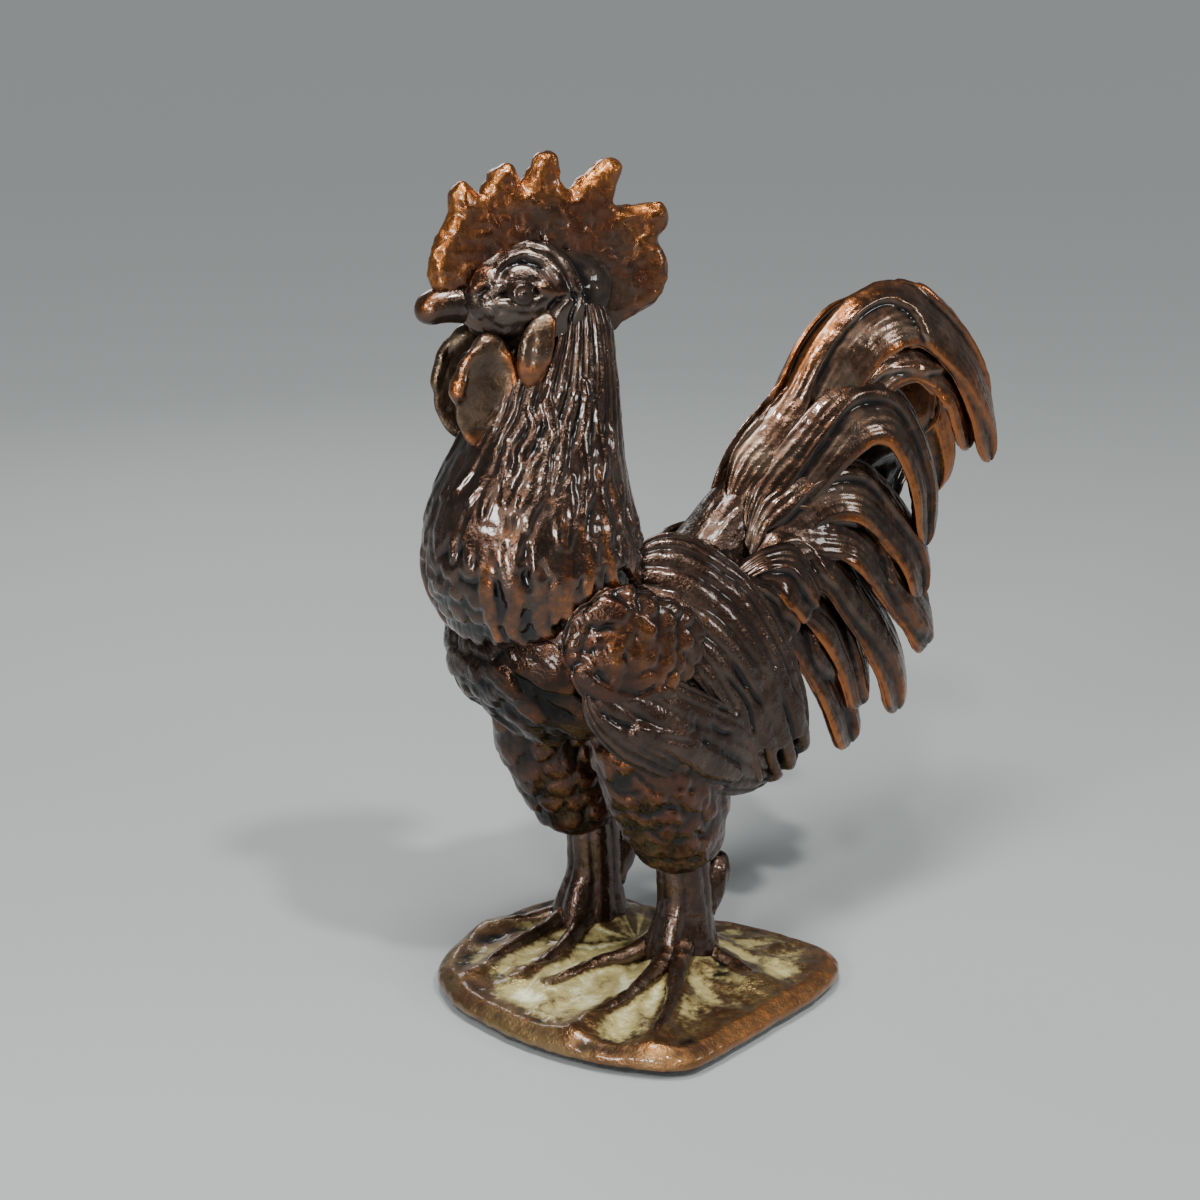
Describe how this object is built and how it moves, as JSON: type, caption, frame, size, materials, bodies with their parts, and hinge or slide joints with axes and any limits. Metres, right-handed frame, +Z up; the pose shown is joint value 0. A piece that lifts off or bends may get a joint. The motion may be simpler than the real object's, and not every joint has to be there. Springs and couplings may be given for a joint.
{
  "type": "cast rooster figurine",
  "caption": "Small cast bronze rooster standing on a thin irregular plaque, with arched tail feathers, layered wings, tall serrated comb and hanging wattles.",
  "frame": {"origin": "on the ground, under the middle of the figure's bounding box", "axes": "+Z up; the rooster faces -X, its tail is towards +X, and its left side is towards -Y"},
  "size_m": [0.0754, 0.0384, 0.086],
  "materials": {
    "bronze_dark": "glossy dark brown patina, nearly black in the recesses, copper orange where the relief is rubbed",
    "bronze_worn": "patina rubbed through to reddish copper orange",
    "bronze_ground": "brown patina with pale yellow-green verdigris in the hollows and a rubbed orange rim"
  },
  "bodies": {
    "root": {"base_plaque": "bronze_ground", "shank_left": "bronze_dark", "shank_right": "bronze_dark", "spur_left": "bronze_dark", "spur_right": "bronze_dark", "toe_left_middle": "bronze_dark", "toe_left_outer": "bronze_dark", "toe_left_inner": "bronze_dark", "toe_left_hind": "bronze_dark", "toe_right_middle": "bronze_dark", "toe_right_inner": "bronze_dark", "toe_right_outer": "bronze_dark", "toe_right_hind": "bronze_dark", "thigh_left": "bronze_dark", "thigh_right": "bronze_dark", "body": "bronze_dark", "neck_hackle": "bronze_dark", "head": "bronze_dark", "eye_left": "bronze_dark", "eye_right": "bronze_dark", "beak_upper": "bronze_worn", "beak_lower": "bronze_dark", "comb": "bronze_worn", "wattle_left": "bronze_worn", "wattle_right": "bronze_worn", "ear_lobe_left": "bronze_worn", "ear_lobe_right": "bronze_worn", "wing_bow_left": "bronze_worn", "wing_bow_right": "bronze_worn", "wing_flights_left": "bronze_dark", "wing_flights_right": "bronze_dark", "saddle_left": "bronze_dark", "saddle_right": "bronze_dark", "tail_core": "bronze_dark", "tail_covert_upper_left": "bronze_dark", "tail_covert_upper_right": "bronze_dark", "tail_covert_lower_left": "bronze_dark", "tail_covert_lower_right": "bronze_dark", "tail_feather_1_left": "bronze_dark", "tail_feather_1_right": "bronze_dark", "tail_feather_2_left": "bronze_dark", "tail_feather_2_right": "bronze_dark", "tail_feather_3_left": "bronze_dark", "tail_feather_3_right": "bronze_dark", "tail_feather_4_left": "bronze_dark", "tail_feather_4_right": "bronze_dark", "tail_feather_5_left": "bronze_dark", "tail_feather_5_right": "bronze_dark", "tail_feather_6_left": "bronze_dark", "tail_feather_6_right": "bronze_dark", "tail_feather_7_left": "bronze_dark", "tail_feather_7_right": "bronze_dark", "tail_feather_8_left": "bronze_dark", "tail_feather_8_right": "bronze_dark"}
  },
  "joints": []
}
